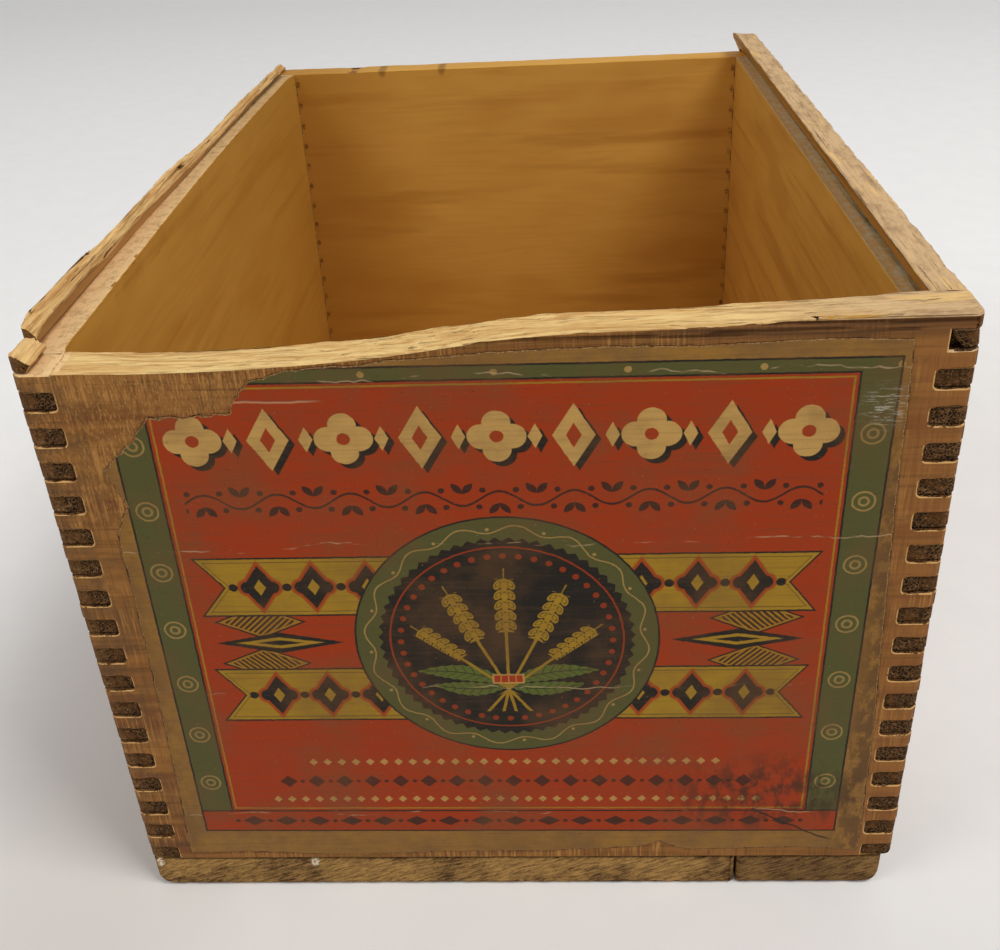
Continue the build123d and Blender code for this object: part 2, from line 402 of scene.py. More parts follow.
def end_wood(settings, name, light, hollowness):
    """Cut ends of the fibres: torn cells full of dirt between brown walls."""
    paint = Paint(name)
    vector, x, y, z = paint.place()
    warp = paint.noise(vector, 0.8, 3.0, 0.6)
    walls = paint.cells(paint.stretch(vector, (1, 1, 1.15), warp * 1.2), 1.6, "DISTANCE_TO_EDGE")
    grit = paint.noise(vector, 2.7, 4.0, 0.8)
    patches = paint.noise(vector, 0.32, 3.0, 0.6)
    filled = x.ramp(-68.2, -69.6) * 0.75
    hollow = walls.ramp(0.06, 0.2) * (patches.ramp(0.66, 0.46) - filled).clamp() * hollowness
    base = paint.mix(patches.ramp(0.4, 0.6) * 0.7, light, rgba(settings.outside_dark))
    base = paint.mix(grit.ramp(0.48, 0.62) * 0.6, base, (0.07, 0.033, 0.013, 1))
    base = paint.mix(hollow, base, rgba(settings.end_dark))
    base = paint.mix(grit.ramp(0.43, 0.33) * 0.7, base, (0.50, 0.31, 0.14, 1))
    return paint.finish(base, 0.85, grit * -0.6 - hollow * 0.8, 0.5 * MM)


def plank_wood(settings, name):
    """The planks' cut ends and lower faces: slanting streaks, pale specks and a painted shadow line along the top,
    under the walls.
    """
    paint = Paint(name)
    vector, x, y, z = paint.place()
    tilt = math.radians(22)
    along, across = x * math.cos(tilt) + z * math.sin(tilt), z * math.cos(tilt) - x * math.sin(tilt)
    slanted = paint.node("ShaderNodeCombineXYZ", None, [along * 0.3, y * 0.3, across * 2.2])["Vector"]
    streaks = paint.noise(slanted, 1.0, 4.0, 0.7)
    grit = paint.noise(vector, 2.0, 4.0, 0.8)
    tone = paint.noise(vector, 0.09, 3.0, 0.6)
    shade = (streaks.ramp(0.4, 0.62) * 0.65 + grit.ramp(0.5, 0.68) * 0.3 + tone.ramp(0.42, 0.62) * 0.35).clamp()
    base = paint.mix(shade, rgba(settings.plank_light), rgba(settings.plank_dark))
    base = paint.mix(x.ramp(41.5, 43) * 0.4, base, rgba(settings.plank_dark))
    base = paint.mix(grit.ramp(0.36, 0.29) * 0.7, base, (0.52, 0.34, 0.17, 1))
    # Painted shadow line along the top of the plank ends, under the walls.
    base = paint.mix((z - streaks * 0.5).ramp(6.95, 7.4) * 0.85, base, (0.03, 0.014, 0.006, 1))
    splinters = hypot((x + 54.4).abs() - 15.4, (z - 6.6) * 0.8).ramp(1.1, 0.5) * grit.ramp(0.56, 0.46)
    base = paint.mix(splinters * y.ramp(-90, -95), base, (0.86, 0.72, 0.52, 1))
    return paint.finish(base, 0.8, grit * 0.6 + streaks * 0.6, 0.35 * MM)


def dusty_wood(settings, axis):
    """The lid grooves' floors: pale dust on the left, grey-brown dirt on the right."""
    paint = Paint("dusty_wood_" + axis.lower())
    vector, x, y, z = paint.place()
    fibres = paint.noise(paint.stretch(vector, along_grain(axis, 2.0, 0.2)), 1.0, 3.0, 0.7)
    clumps = paint.noise(vector, 0.6, 5.0, 0.75)
    left = paint.mix(clumps.ramp(0.46, 0.66) * 0.6, rgba(settings.dust), (0.45, 0.26, 0.10, 1))
    left = paint.mix(y.ramp(-50, 80) * 0.55, left, (0.34, 0.18, 0.055, 1))
    right = paint.mix(clumps.ramp(0.36, 0.6), (0.50, 0.38, 0.22, 1), (0.50, 0.29, 0.10, 1))
    base = paint.mix(x.ramp(-1, 1), left, right)
    base = paint.mix(fibres.ramp(0.55, 0.8) * 0.5, base, (0.15, 0.085, 0.04, 1))
    return paint.finish(base, 0.9, clumps * 0.5 + fibres * 0.6, 0.12 * MM)


def rubbed_and_highlit_wood(settings):
    """Sharp edges rubbed pale in places; on the boards only the bevels that face up take it, so it is also a painted
    highlight.
    """
    paint = Paint("rubbed_edges")
    vector, x, y, z = paint.place()
    rub = paint.noise(vector, 0.8, 4.0, 0.7)
    base = paint.mix(rub.ramp(0.5, 0.64), (0.62, 0.35, 0.125, 1), rgba(settings.outside_dark))
    return paint.finish(base, 0.7, rub, 0.06 * MM)


def rusty_iron():
    """The old cut nails: dark iron under brown rust."""
    paint = Paint("rusty_iron")
    vector, x, y, z = paint.place()
    scale = paint.noise(vector, 1.4, 4.0, 0.7)
    base = paint.mix(scale.ramp(0.38, 0.6), (0.045, 0.036, 0.03, 1), (0.15, 0.052, 0.018, 1))
    return paint.finish(base, scale.ramp(0.2, 0.7) * 0.3 + 0.6, scale, 0.06 * MM, Metallic=0.3)


def whole_form(node):
    """The form of a frame node, its loose triangles merged into whole faces."""
    form = bmesh.new()
    form.from_mesh(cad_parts[node].data)
    bmesh.ops.remove_doubles(form, verts=form.verts, dist=0.15 * MM)
    bmesh.ops.dissolve_limit(form, angle_limit=math.radians(0.5), verts=form.verts, edges=form.edges)
    return form


def sharp_edges(form, least=30):
    """Convex edges between faces that meet at a marked angle."""
    limit = math.radians(least)
    return [e for e in form.edges if e.is_manifold and e.is_convex and e.calc_face_angle(0) > limit]


def cut_long(form, edges, length):
    """Splits long edges into short stretches, so that wear can wander along them."""
    for edge in edges:
        near, far = edge.verts
        for left in range(int(edge.calc_length() / length), 0, -1):
            made, vert = bmesh.utils.edge_split(edge, near, 1 / (left + 1))
            edge = edge if far in edge.verts else made
            near = vert


def slice_faces(form, wanted, axis, low, high, pitch):
    """Slices the faces that pass a test, at even steps along one axis."""
    normal = Vector([float(letter == axis) for letter in "XYZ"])
    faces = [f for f in form.faces if wanted(f)]
    geometry = [*{v for f in faces for v in f.verts}, *{e for f in faces for e in f.edges}, *faces]
    for step in range(int((high - low) / pitch)):
        level = normal * (low + (step + 0.5) * pitch)
        made = bmesh.ops.bisect_plane(form, geom=geometry, plane_co=level, plane_no=normal, dist=1e-7)
        geometry = made["geom"]


def wear_edges(form, width, index):
    """Rounds the sharp edges and gives the narrow faces on them a material of their own."""
    made = bmesh.ops.bevel(
        form, geom=sharp_edges(form), offset=width, offset_type="OFFSET", segments=2, profile=0.5,
        affect="EDGES", clamp_overlap=False, material=-1,
    )
    for face in made["faces"]:
        face.material_index = index


def smooth(value, low=0.0, high=1.0):
    """0 below low and 1 above high, smooth between."""
    share = min(max((value - low) / (high - low), 0.0), 1.0)
    return share * share * (3 - 2 * share)


def torn_cells(across, level, seed):
    """How deep the cut ends of the fibres are torn at a place on an end face, in metres."""
    apart = noise.voronoi(Vector((across / MM * 1.3, seed, level / MM * 1.5)))[0]
    grain = noise.noise(Vector((across / MM * 0.9, seed + 3, level / MM * 0.9)))
    return (0.34 * smooth(apart[1] - apart[0], 0.08, 0.5) + 0.16 * grain) * MM


def fibre(point, axis, fine, coarse):
    """Noise in a point in metres, drawn out along the grain."""
    scale = [fine, fine, fine]
    scale["XYZ".index(axis)] = coarse
    return noise.fractal(Vector([p / MM * s for p, s in zip(point, scale)]), 0.6, 2.2, 3)


def hold_in(form, node):
    """Keeps every point of a form inside the box of its frame node."""
    low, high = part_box(node)
    for vert in form.verts:
        vert.co = [min(max(part, least), most) for part, least, most in zip(vert.co, low, high)]


def make_piece(name, form, materials, slot, *nodes):
    """Turns a form into a piece that stands for frame nodes and rides with the box."""
    mesh = bpy.data.meshes.new(name)
    hold_in(form, nodes[0])
    form.normal_update()
    form.to_mesh(mesh)
    form.free()
    for material in materials:
        mesh.materials.append(material)
    mesh.shade_smooth()
    piece = bpy.data.objects.new(name, mesh)
    bpy.context.scene.collection.objects.link(piece)
    soft = piece.modifiers.new("Even shading", "WEIGHTED_NORMAL")
    soft.mode, soft.weight, soft.keep_sharp = "FACE_AREA_WITH_ANGLE", 80, False
    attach(piece, "root")
    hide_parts(*nodes)
    return piece


def finger_index(z):
    """Which finger a height belongs to, counted down from the top of the wall."""
    return int((TOP_Z - z) / FINGER)


def plug_pocket(form):
    """Closes the back of the small pocket at the right front corner, where the groove runs out; its dark end-grain
    colour is painted shade.
    """
    low = Vector((INNER_W + 1.2 * MM, FRONT_Y + 1.8 * MM, LEDGE_Z - 0.05 * MM))
    high = Vector((HALF_W - 2.4 * MM, FRONT_IN_Y - 0.1 * MM, LEDGE_Z + FINGER + 0.1 * MM))
    turn = Matrix.Translation((low + high) / 2) @ Matrix.Diagonal((*(high - low), 1))
    made = bmesh.ops.create_cube(form, size=1.0, matrix=turn)
    for face in {f for v in made["verts"] for f in v.link_faces}:
        face.material_index = 2


def end_board(name, is_front, settings):
    """An end board: grain across the box, its finger tips uneven, its top edge torn or nicked."""
    form = whole_form(name)
    facing = -1 if is_front else 1
    low_y, high_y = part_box(name)[0].y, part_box(name)[1].y
    base_z = LEDGE_Z - 0.9 * FINGER
    cut_long(form, sharp_edges(form), 0.8 * MM)

    def on_top(face):
        centre = face.calc_center_median()
        return face.normal.z > 0.4 and centre.z > base_z and face.material_index == 0

    def at_tip(face):
        return face.material_index == 0 and abs(face.normal.x) > 0.98 and abs(
            face.calc_center_median().x) > HALF_W - 0.2 * MM

    def under_top(face):
        centre = face.calc_center_median()
        return face.material_index == 0 and face.normal.y < -0.9 and centre.z > 118.6 * MM and centre.x > -20 * MM

    pockets = [e for e in form.edges if e.is_manifold and not e.is_convex and e.calc_face_angle(0) > 1
               and abs(e.verts[0].co.x - e.verts[1].co.x) < 1e-6 and abs(e.verts[0].co.z - e.verts[1].co.z) < 1e-6
               and e.verts[0].co.z < LEDGE_Z - 0.1 * MM and abs(e.verts[0].co.x) > INNER_W - 0.5 * MM]
    bmesh.ops.bevel(
        form, geom=pockets, offset=POCKET_ROUND, offset_type="OFFSET", segments=3, profile=0.5,
        affect="EDGES", clamp_overlap=True, material=-1,
    )
    wear_edges(form, settings.edge_round, 4)
    slice_faces(form, on_top, "X", -INNER_W, INNER_W, 1.0 * MM)
    slice_faces(form, on_top, "Y", low_y, high_y, 0.5 * MM)
    if is_front:
        front = [f for f in form.faces if f.normal.y < -0.9]
        around = [*{v for f in front for v in f.verts}, *{e for f in front for e in f.edges}, *front]
        bmesh.ops.bisect_plane(form, geom=around, plane_co=(0, 0, 118.7 * MM), plane_no=(0, 0, 1), dist=1e-7)
        slice_faces(form, under_top, "Z", 118.7 * MM, TOP_Z, 0.32 * MM)
        slice_faces(form, under_top, "X", -20 * MM, HALF_W, 1.4 * MM)
    slice_faces(form, at_tip, "Z", WALL_Z, TOP_Z, FINGER / 7)
    slice_faces(form, at_tip, "Y", low_y, high_y, 0.45 * MM)
    form.normal_update()
    for vert in form.verts:
        point, normal = vert.co.copy(), vert.normal.copy()
        tip = (abs(point.x) - INNER_W) / (HALF_W - INNER_W)
        if point.z > LEDGE_Z - 0.5 * MM and tip < 0.8 and normal.z > 0.2:
            torn = 0.36 * MM if is_front else 0.16 * MM
            vert.co.z += torn * (fibre(point, "X", 0.9, 0.07) - 0.3)
            if not is_front:
                vert.co.z -= 0.5 * MM * smooth(abs(point.x + 48 * MM), 3.4 * MM, 0.6 * MM)
        if is_front and normal.y < -0.9 and point.z > 118.8 * MM:
            split = fibre(point, "X", 1.9, 0.035)
            vert.co.y += 0.5 * MM * smooth(split, 0.0, 0.35) * smooth(point.x, -18 * MM, 5 * MM)
        elif not (is_front and normal.y < -0.9 and tip < 0):
            vert.co += normal * (0.05 * MM * fibre(point, "X", 0.5, 0.2) - 0.03 * MM)
        if tip > -0.05 and tip < 0.95 and abs(normal.z) > 0.3:
            wavy = noise.noise(Vector((point.x / MM * 0.6, finger_index(point.z + 0.4 * MM) * 3.7, facing * 5)))
            vert.co.z += 0.3 * MM * wavy * (1 if point.z < TOP_Z - 1 * MM else 0)
        if tip > 0.3:
            swell = noise.noise(Vector((finger_index(point.z) * 1.7, point.x / MM, facing * 3.1)))
            sunk = max(0.0, 0.3 * MM * swell + 0.12 * MM) * tip
            if abs(point.x) > HALF_W - 0.01 * MM and abs(normal.x) > 0.9:
                sunk += max(0.0, 0.1 * MM + torn_cells(point.y, point.z, 7.0))
            vert.co.x -= math.copysign(sunk, point.x)

    for face in form.faces:
        centre, normal = face.calc_center_median(), face.normal.copy()
        face.normal_update()
        upward = max(normal.z, face.normal.z) if centre.z > TOP_Z - 0.9 * MM else normal.z
        in_notch = abs(centre.x) > INNER_W - 1.5 * MM and abs(normal.y) < 0.4
        in_notch = in_notch and centre.z < (LEDGE_Z + FINGER if is_front and centre.x > 0 else LEDGE_Z - 0.3 * MM)
        rubbed = face.material_index == 4 and centre.z < LEDGE_Z + 1.2 * FINGER and abs(normal.x) < 0.95
        on_edge = centre.z > LEDGE_Z - 0.5 * MM and upward > 0.2
        # The pocket's faces take the dark end-grain material as painted shade.
        in_shaded_pocket = is_front and centre.x > INNER_W + 0.8 * MM and centre.z < LEDGE_Z + FINGER and abs(normal.y) < 0.4
        if is_front and on_edge and centre.x < -INNER_W + 1 * MM and normal.z > 0.8:
            face.material_index = 5
        elif in_shaded_pocket:
            face.material_index = 2
        elif on_edge and (normal.z > 0.8 or not is_front or centre.x > -54.6 * MM):
            face.material_index = 3
        # Bevels near the fingers that face up take the pale rubbed material, partly rubbed wear and partly painted
        # highlight; those that face down take the outside wood.
        elif rubbed and not in_notch and abs(centre.x) > INNER_W - 2 * MM:
            face.material_index = 4 if normal.z > -0.2 else 0
        elif in_notch or abs(normal.x) > 0.75 and abs(centre.x) > INNER_W + 0.5 * MM:
            face.material_index = 2
        else:
            face.material_index = 0 if normal.y * facing > -0.4 else 1
    if is_front:
        plug_pocket(form)
    materials = [
        bpy.data.materials["outside_wood_x"],
        bpy.data.materials["inside_wood_x"],
        bpy.data.materials["finger_ends"],
        bpy.data.materials["raw_wood_x" if is_front else "inside_wood_x"],
        bpy.data.materials["rubbed_edges"],
        bpy.data.materials["dusty_wood_y"],
    ]
    return make_piece(name + "_worn", form, materials, "board_wood", name)


def bowed(point):
    """How far the left board has bowed outward, in metres, at a place on it."""
    along = (point.y + HALF_D) / (2 * HALF_D)
    middle = math.sin(math.pi * min(max((along - 0.1) / 0.88, 0.0), 1.0))
    ends = smooth(REAR_IN_Y - abs(point.y), 0.0, 4 * MM)
    depth = 1 - smooth(-point.x, INNER_W, HALF_W)
    return (0.8 + 1.5 * middle) * MM * ends * depth * smooth(point.z, 40 * MM, 108 * MM)


def lip_wear(point, side):
    """How a point of a groove's lip has moved: split and splintered on the left, rubbed on the right."""
    if side < 0:
        strands = fibre(point, "Y", 1.2, 0.045)
        steps = round(3 * fibre(point + Vector((0, 0.05, 0)), "Y", 0.5, 0.03)) / 3
        return Vector((0, 0, (0.34 * strands + 0.5 * steps - 0.42) * MM))
    rear = smooth(point.y, HALF_D - 6 * MM, HALF_D) * (0.4 + 0.6 * smooth(point.x, INNER_W, HALF_W))
    down = (0.16 - 0.16 * fibre(point, "Y", 0.7, 0.12)) * MM + 1.5 * MM * rear
    along = point.y / MM
    nicks = 0.5 * noise.noise(Vector((along * 0.22, 3, 1))) + 0.45 * noise.noise(Vector((along * 0.8, 9, 4)))
    inward = max(0.0, nicks + 0.12) * MM * smooth(point.x, HALF_W - 1.8 * MM, HALF_W - 0.5 * MM)
    return Vector((-inward - 1.1 * MM * rear, 0, -down))


def side_board(name, side, settings):
    """A side board: grain along the box, with dust in the lid groove and a worn or split lip."""
    form = whole_form(name)
    cut_long(form, sharp_edges(form), 1.2 * MM)

    def on_lip(face):
        centre = face.calc_center_median()
        return centre.z > LEDGE_Z + 0.3 * MM and face.normal.z > 0.15 and face.material_index == 0

    def at_tip(face):
        return face.material_index == 0 and abs(face.normal.y) > 0.98 and abs(
            face.calc_center_median().y) > HALF_D - 0.2 * MM

    def inner_wall(face):
        centre = face.calc_center_median()
        on_ledge = face.normal.z > 0.9 and abs(centre.z - LEDGE_Z) < 0.3 * MM
        return face.normal.x * side < -0.9 and centre.z < TOP_Z - 1 * MM or on_ledge

    wear_edges(form, settings.edge_round, 5)
    slice_faces(form, on_lip, "Y", -HALF_D, HALF_D, 1.2 * MM)
    outer, inner = (-HALF_W, -INNER_W) if side < 0 else (INNER_W, HALF_W)
    slice_faces(form, on_lip, "X", outer, inner, (0.5 if side < 0 else 0.8) * MM)
    if side < 0:
        slice_faces(form, inner_wall, "Y", -HALF_D, HALF_D, 5 * MM)
        slice_faces(form, inner_wall, "Z", WALL_Z, LEDGE_Z, 6 * MM)
    slice_faces(form, at_tip, "Z", WALL_Z, TOP_Z, FINGER / 8)
    slice_faces(form, at_tip, "X", outer, inner, 0.42 * MM)
    form.normal_update()
    for vert in form.verts:
        point, normal = vert.co.copy(), vert.normal.copy()
        vert.co += normal * (0.05 * MM * fibre(point, "Y", 0.5, 0.15) - 0.03 * MM)
        if point.z > LEDGE_Z + 1 * MM:
            vert.co += lip_wear(point, side)
        if side < 0:
            vert.co.x -= bowed(point)
            if abs(point.z - LEDGE_Z) < 0.45 * MM and point.x > -INNER_W - 0.5 * MM:
                chip = max(0.0, noise.noise(Vector((point.y / MM * 0.45, 5, 2))) + 0.25 * smooth(-point.y, 30 * MM, 80 * MM))
                vert.co.x -= 0.9 * MM * chip
                vert.co.z -= 0.5 * MM * chip
        tip = (abs(point.y) - REAR_IN_Y) / (HALF_D - REAR_IN_Y)
        if tip > 0.3 and point.z < LEDGE_Z + 1.2 * FINGER:
            sunk = noise.noise(Vector((finger_index(point.z) * 2.3, side * 5.7, point.y / MM)))
            depth = (0.34 + 0.14 * sunk) * MM * tip
            if abs(point.y) > HALF_D - 0.01 * MM:
                depth += max(0.0, torn_cells(point.x, point.z, side * 2.0))
            vert.co.y -= math.copysign(depth, point.y)

    for face in form.faces:
        centre, normal = face.calc_center_median(), face.normal
        inner = normal.x * side < -0.5
        at_end = abs(centre.y) > REAR_IN_Y - 1 * MM
        if abs(normal.y) > 0.6 and at_end:
            face.material_index = 2
        # The right board's inner faces inside the front pocket take the dark end-grain material as painted shade.
        elif centre.y < FRONT_IN_Y - 0.2 * MM and side > 0 and inner and centre.z > LEDGE_Z:
            face.material_index = 2
        elif abs(centre.z - LEDGE_Z) < 0.3 * MM and normal.z > 0.5:
            face.material_index = 4
        elif centre.z > LEDGE_Z + 0.8 * MM and normal.z > 0.12:
            face.material_index = 3
        # Bevels at the finger ends that face up keep the pale rubbed material, partly rubbed wear and partly painted
        # highlight.
        elif face.material_index == 5 and normal.z > -0.2 and at_end:
            face.material_index = 5
        else:
            face.material_index = 1 if inner else 0
    materials = [
        bpy.data.materials["outside_wood_y"],
        bpy.data.materials["inside_wood_y"],
        bpy.data.materials["finger_ends"],
        bpy.data.materials["raw_wood_y"],
        bpy.data.materials["dusty_wood_y"],
        bpy.data.materials["rubbed_edges"],
    ]
    return make_piece(name + "_worn", form, materials, "board_wood", name)


def bottom_plank(name, settings):
    """A bottom plank: sawn faces and rough, torn ends."""
    form = whole_form(name)
    low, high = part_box(name)
    cut_long(form, sharp_edges(form), 2 * MM)

    def at_end(face):
        return abs(face.normal.y) > 0.9

    slice_faces(form, at_end, "X", low.x, high.x, 0.8 * MM)
    slice_faces(form, at_end, "Z", low.z, high.z, 0.6 * MM)
    wear_edges(form, settings.edge_round, 0)
    for vert in form.verts:
        point = vert.co.copy()
        if abs(point.y) > HALF_D - 0.8 * MM:
            rough = fibre(point, "Y", 0.8, 0.1)
            vert.co.y -= math.copysign((0.12 + 0.3 * abs(rough)) * MM, point.y)
        vert.co += vert.normal * (0.06 * MM * fibre(point, "Y", 0.4, 0.12) - 0.05 * MM)
        vert.co.z = max(vert.co.z, 0.0)
    for face in form.faces:
        face.material_index = 1 if abs(face.normal.y) > 0.6 else 0
        if face.normal.z > 0.8:
            face.material_index = 2
    materials = [
        bpy.data.materials["plank_ends"],
        bpy.data.materials["plank_ends"],
        bpy.data.materials["inside_wood_y"],
    ]
    return make_piece(name + "_worn", form, materials, "plank_wood", name)


class BOX_OT_materials(bpy.types.Operator):
    """Makes the woods of the box."""

    bl_idname = "box.materials"
    bl_label = "Woods"

    def execute(self, context):
        wood = context.scene.old_box.wood
        for axis, seed in (("X", 1.0), ("Y", 4.0)):
            outside_wood(wood, axis, seed)
            inside_wood(wood, axis, seed)
            raw_wood(wood, axis, seed)
        dusty_wood(wood, "Y")
        end_wood(wood, "finger_ends", rgba(wood.end_light), 0.95)
        plank_wood(wood, "plank_ends")
        rubbed_and_highlit_wood(wood)
        return {"FINISHED"}


class BOX_OT_end_boards(bpy.types.Operator):
    """Makes the two worn end boards."""

    bl_idname = "box.end_boards"
    bl_label = "End boards"

    def execute(self, context):
        wood = context.scene.old_box.wood
        end_board("front_end_board", True, wood)
        end_board("rear_end_board", False, wood)
        return {"FINISHED"}


class BOX_OT_side_boards(bpy.types.Operator):
    """Makes the two worn side boards with their lid grooves."""

    bl_idname = "box.side_boards"
    bl_label = "Side boards"

    def execute(self, context):
        wood = context.scene.old_box.wood
        side_board("left_side_board", -1, wood)
        side_board("right_side_board", 1, wood)
        return {"FINISHED"}


class BOX_OT_bottom(bpy.types.Operator):
    """Makes the two bottom planks and rusts the nails."""

    bl_idname = "box.bottom"
    bl_label = "Bottom"

    def execute(self, context):
        wood = context.scene.old_box.wood
        bottom_plank("bottom_plank_wide", wood)
        bottom_plank("bottom_plank_narrow", wood)
        rust = rusty_iron()
        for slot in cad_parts["bottom_nails"].material_slots:
            slot.material = rust
        return {"FINISHED"}


def hypot(a, b):
    """Distance from a point, from its two parts."""
    return (a * a + b * b).sqrt()


def disc(a, b, radius):
    """Signed distance from a disc's edge, below zero inside, as in every shape here."""
    return hypot(a, b) - radius


def bar(a, b, half_a, half_b):
    """Signed distance from an upright rectangle."""
    return (a.abs() - half_a).max(b.abs() - half_b)


def lozenge(a, b, half_a, half_b):
    """Signed distance from a rectangle on its corner."""
    return (a.abs() / half_a + b.abs() / half_b - 1) * (half_a * half_b / math.hypot(half_a, half_b))


def quatrefoil(a, b, reach, radius):
    """Signed distance from four joined discs."""
    return disc(a.abs() - reach, b, radius).min(disc(a, b.abs() - reach, radius))


def line(shape, half):
    """A line of even width along a shape's edge."""
    return shape.abs() - half


class Print:
    """The print of the label, laid ink over ink on the paper."""

    def __init__(self, paint, inks, paper, u, v):
        self.paint, self.inks, self.base, self.u, self.v = paint, inks, paper, u, v

    def lay(self, shape, ink, strength=1.0, edge=0.08):
        """Prints a shape in one of the inks."""
        mask = shape.ramp(edge, -edge)
        mask = mask if strength == 1.0 else mask * strength
        self.base = self.paint.mix(mask, self.base, rgba(getattr(self.inks, ink)))

    def frame(self):
        """The field, its green band with rings and dots, and the strip below."""
        u, v = self.u, self.v
        whole = bar(u, v, 59.2, 49.9)
        field = bar(u, v - 1.5, 53.4, 46.0)
        strip = bar(u, v + 47.2, 59.2, 2.7)
        self.lay(whole, "green")
        ring = hypot(u.abs() - 56.3, v.wave(12.3)).max(v.abs() - 41)
        self.lay(line(ring - 1.75, 0.16), "cream", 0.55)
        self.lay(line(ring - 0.75, 0.2), "cream", 0.5)
        self.lay(disc(v - 48.7, u.wave(19.7), 0.55), "cream", 0.7)
        self.lay(field.min(strip), "red")
        self.lay(line(whole, 0.17).min(line(field, 0.17)).min(line(strip, 0.17)), "black")
        self.lay(line(field + 0.75, 0.16), "yellow", 0.85)
        beads = lozenge(u.wave(6.2), v + 47.2, 2.2, 1.25).min(disc((u + 3.1).wave(6.2), v + 47.2, 0.45))
        self.lay(beads.max(u.abs() - 53.3), "black", 0.85)

    def head_row(self):
        """Large cream ornaments with black shadows, in place of the heading."""
        def ornaments(u, v):
            flower = quatrefoil(u.wave(23.4), v, 2.35, 2.2)
            spear = lozenge((u + 11.7).wave(23.4), v, 3.3, 5.6)
            joint = lozenge((u + 5.85).wave(11.7), v, 1.1, 2.2)
            return flower.min(spear).min(joint).max(u.abs() - 51.5)

        u, v = self.u, self.v - 37.6
        self.lay(ornaments(u - 0.85, v + 0.85), "black")
        self.lay(ornaments(u, v), "cream")
        hearts = disc(u.wave(23.4), v, 1.05).min(lozenge((u + 11.7).wave(23.4), v, 1.2, 2.2))
        self.lay(hearts.max(u.abs() - 51.5), "red")

    def vine(self, level, reach, ink):
        """A waved stem with pointed leaves by turns above and below it."""
        period = 11.7
        u, v = self.u, self.v - level
        wave = (u * (2 * math.pi / period)).cos() * 1.35
        stem = (v - wave).abs() - 0.22
        shape = stem
        for shift, side in ((0.0, -1), (period / 2, 1)):
            a = (u + shift).wave(period)
            b = v * side - 0.9
            for turn in (0.7, -0.7):
                along = a * math.sin(turn) + b * math.cos(turn)
                off = a * math.cos(turn) - b * math.sin(turn)
                share = along / 1.3 - 1
                shape = shape.min((off.abs() - (1 - share * share) * 0.62).max(-along))
            shape = shape.min(disc(a - 2.6, b + 2.5, 0.5)).min(disc(a + 2.6, b + 2.5, 0.5))
        self.lay(shape.max(u.abs() - reach), ink, 0.9)

    def ribbons(self):
        """Two yellow ribbons with forked ends that pass behind the medallion."""
        u, v = self.u, self.v + 3
        b = (v.abs() - 12.0)
        wing = u.abs()
        fold = lozenge(wing - 41.5, v.abs() - 4.6, 7.5, 3.4)
        self.lay(fold, "yellow", 0.75)
        self.lay((fold + 0.5).max((wing + v.abs()).wave(1.1).abs() - 0.3), "black", 0.9)
        self.lay(line(fold, 0.15), "black")
        ribbon = (b.abs() - 6.0).max(wing - b.abs() * 0.75 - 46.3)
        self.lay(ribbon, "yellow")
        self.lay(line(ribbon, 0.17), "black")
        self.lay(line(ribbon + 0.85, 0.09), "black", 0.6)
        step = (wing - 31.4).wave(9.0)
        charm = lozenge(step, b, 2.9, 4.5).min(quatrefoil(step, b, 2.0, 1.25))
        bead = disc((wing - 26.9).wave(9.0), b, 0.8)
        inside = (wing - 45.6)
        self.lay((charm - 0.6).max(inside), "red", 0.9, 0.25)
        self.lay(charm.max(inside), "black")
        self.lay(lozenge(step, b, 1.0, 1.7).max(inside), "yellow")
        self.lay(bead.max(inside), "black")

    def spindles(self):
        """Black and yellow spindles between the ribbons."""
        wing, v = self.u.abs() - 38.6, self.v + 3
        spindle = lozenge(wing, v, 11.0, 2.3)
        self.lay(spindle, "black")
        self.lay(lozenge(wing, v, 7.6, 1.25), "yellow")
        self.lay(lozenge(wing, v, 4.0, 0.6).min(disc(wing.abs() - 9.0, v, 0.5)), "black")

    def fine_rows(self):
        """Rows of small ornaments, in place of the small lines."""
        u, v = self.u, self.v
        for level, pitch, half_a, half_b, reach, ink in (
            (-31.6, 2.6, 0.8, 0.85, 37.4, "cream"), (-36.6, 5.2, 1.6, 1.55, 43.4, "black"), (-41.3, 2.6, 0.8, 0.8, 45.2, "cream"),
        ):
            row = lozenge(u.wave(pitch), v - level, half_a, half_b)
            self.lay(row.max(u.abs() - reach), ink, 0.8)
        dots = disc((u + 2.6).wave(5.2), v + 36.6, 0.4)
        self.lay(dots.max(u.abs() - 42), "black", 0.8)

    def medallion(self):
        """A black disc in a green ring with a toothed edge, and a sheaf of grain on it."""
        a, b = self.u, self.v + 3
        away = hypot(a, b)
        angle = a.math("ARCTAN2", b)
        self.lay(away - 25.6, "green")
        scroll = ((angle * 16).sin() * 0.75 + 23.3 - away).abs() - 0.13
        pearls = disc((angle + math.pi / 32).wave(math.pi / 8) * 23.3, away - 23.3, 0.3)
        self.lay(scroll.min(pearls), "cream", 0.6)
        teeth = away - 20.9 - (angle.wave(2 * math.pi / 60)).abs() * 15
        self.lay(teeth, "black")
        self.lay(line(away - 25.6, 0.17), "black")
        self.lay(away - 20.4, "black")
        self.lay(line(away - 19.7, 0.15), "red", 0.85)
        beads = disc(angle.wave(2 * math.pi / 44) * 17.9, away - 17.9, 0.55)
        self.lay(beads, "red", 0.75)
        self.leaves(a, b)
        self.sheaf(a, b)

